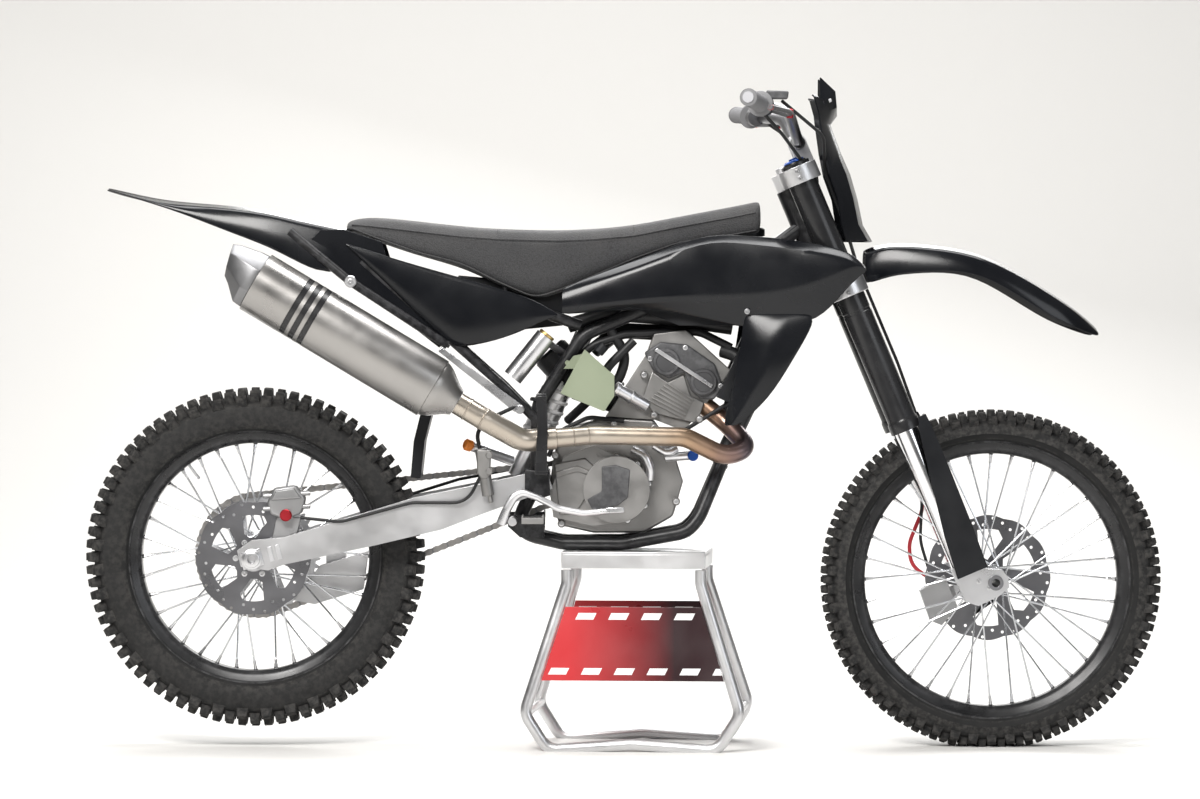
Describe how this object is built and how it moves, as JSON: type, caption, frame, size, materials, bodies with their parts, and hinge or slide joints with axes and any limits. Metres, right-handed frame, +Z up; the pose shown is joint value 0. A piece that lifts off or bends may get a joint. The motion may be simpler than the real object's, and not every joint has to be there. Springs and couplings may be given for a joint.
{
  "type": "dirt bike on paddock stand",
  "caption": "Motocross motorcycle with knobbed tyres, long-travel fork and side exhaust, carried under its engine by an aluminium paddock stand.",
  "frame": {"origin": "middle of the bounding box in plan, on the floor", "axes": "+X forwards, +Y to the rider's left, +Z up"},
  "size_m": [2.1494, 0.8454, 1.3498],
  "materials": {
    "black_metal": "satin black paint",
    "black_plastic": "moulded, satin",
    "seat_cover": "gripper cover",
    "grip_rubber": "matt",
    "hose_rubber": "matt",
    "tyre_rubber": "matt",
    "rim_black": "anodised black",
    "cast_alloy": "sand cast",
    "machined_alloy": "machined",
    "steel": "bare",
    "chromed_tube": "polished",
    "titanium": "heat tinted",
    "muffler_sleeve": "brushed",
    "dark_cap": "satin",
    "shock_steel": "machined",
    "caliper_alloy": "hard anodised",
    "bottle": "translucent",
    "panel_red": "gloss"
  },
  "bodies": {
    "chassis": {"frame": "black_metal", "subframe": "black_metal", "countershaft_sprocket": "black_metal", "side_panels": "black_plastic", "shrouds": "black_plastic", "rear_fender": "black_plastic", "airbox": "black_plastic", "fuel_tank": "black_plastic", "chain_guide": "black_plastic", "seat": "seat_cover", "engine_cases": "cast_alloy", "cylinder": "cast_alloy", "ignition_cover": "cast_alloy", "swingarm": "cast_alloy", "stand_frame": "machined_alloy", "stand_platform": "machined_alloy", "clutch_cover": "machined_alloy", "brake_pedal": "machined_alloy", "footpegs": "machined_alloy", "radiators": "machined_alloy", "rear_axle": "steel", "pivot_bolt": "steel", "chain": "steel", "shift_lever": "steel", "header_pipe": "titanium", "mid_pipe": "titanium", "muffler": "muffler_sleeve", "muffler_end_cap": "dark_cap", "head_cover": "dark_cap", "shock_absorber": "shock_steel", "rear_master_cylinder": "shock_steel", "rear_caliper": "caliper_alloy", "coolant_tank": "bottle", "stand_panels": "panel_red"},
    "steering": {"lower_clamp": "machined_alloy", "upper_clamp": "machined_alloy", "fork_outer_tubes": "black_metal", "fork_inner_tubes": "chromed_tube", "fork_guards": "black_plastic", "axle_lugs": "cast_alloy", "front_axle": "steel", "handlebar": "steel", "bar_clamps": "machined_alloy", "grips": "grip_rubber", "levers": "black_metal", "number_plate": "black_plastic", "front_fender": "black_plastic", "front_caliper": "caliper_alloy", "front_brake_hose": "hose_rubber"},
    "front_wheel": {"front_tyre": "tyre_rubber", "front_rim": "rim_black", "front_hub": "machined_alloy", "front_disc": "steel"},
    "rear_wheel": {"rear_tyre": "tyre_rubber", "rear_rim": "rim_black", "rear_hub": "machined_alloy", "rear_disc": "steel", "rear_sprocket": "steel"}
  },
  "joints": [
    {"name": "steering_turn", "type": "hinge", "parent": "chassis", "child": "steering", "pos_m": [0.37385, 0, 1.02587], "axis": [-0.3875, 0, 0.9219], "range_deg": [-42, 42]},
    {"name": "front_wheel_spin", "type": "hinge", "parent": "steering", "child": "front_wheel", "pos_m": [0.734, 0, 0.342], "axis": [0, 1, 0], "continuous": true},
    {"name": "rear_wheel_spin", "type": "hinge", "parent": "chassis", "child": "rear_wheel", "pos_m": [-0.736, 0, 0.388], "axis": [0, 1, 0], "continuous": true}
  ]
}
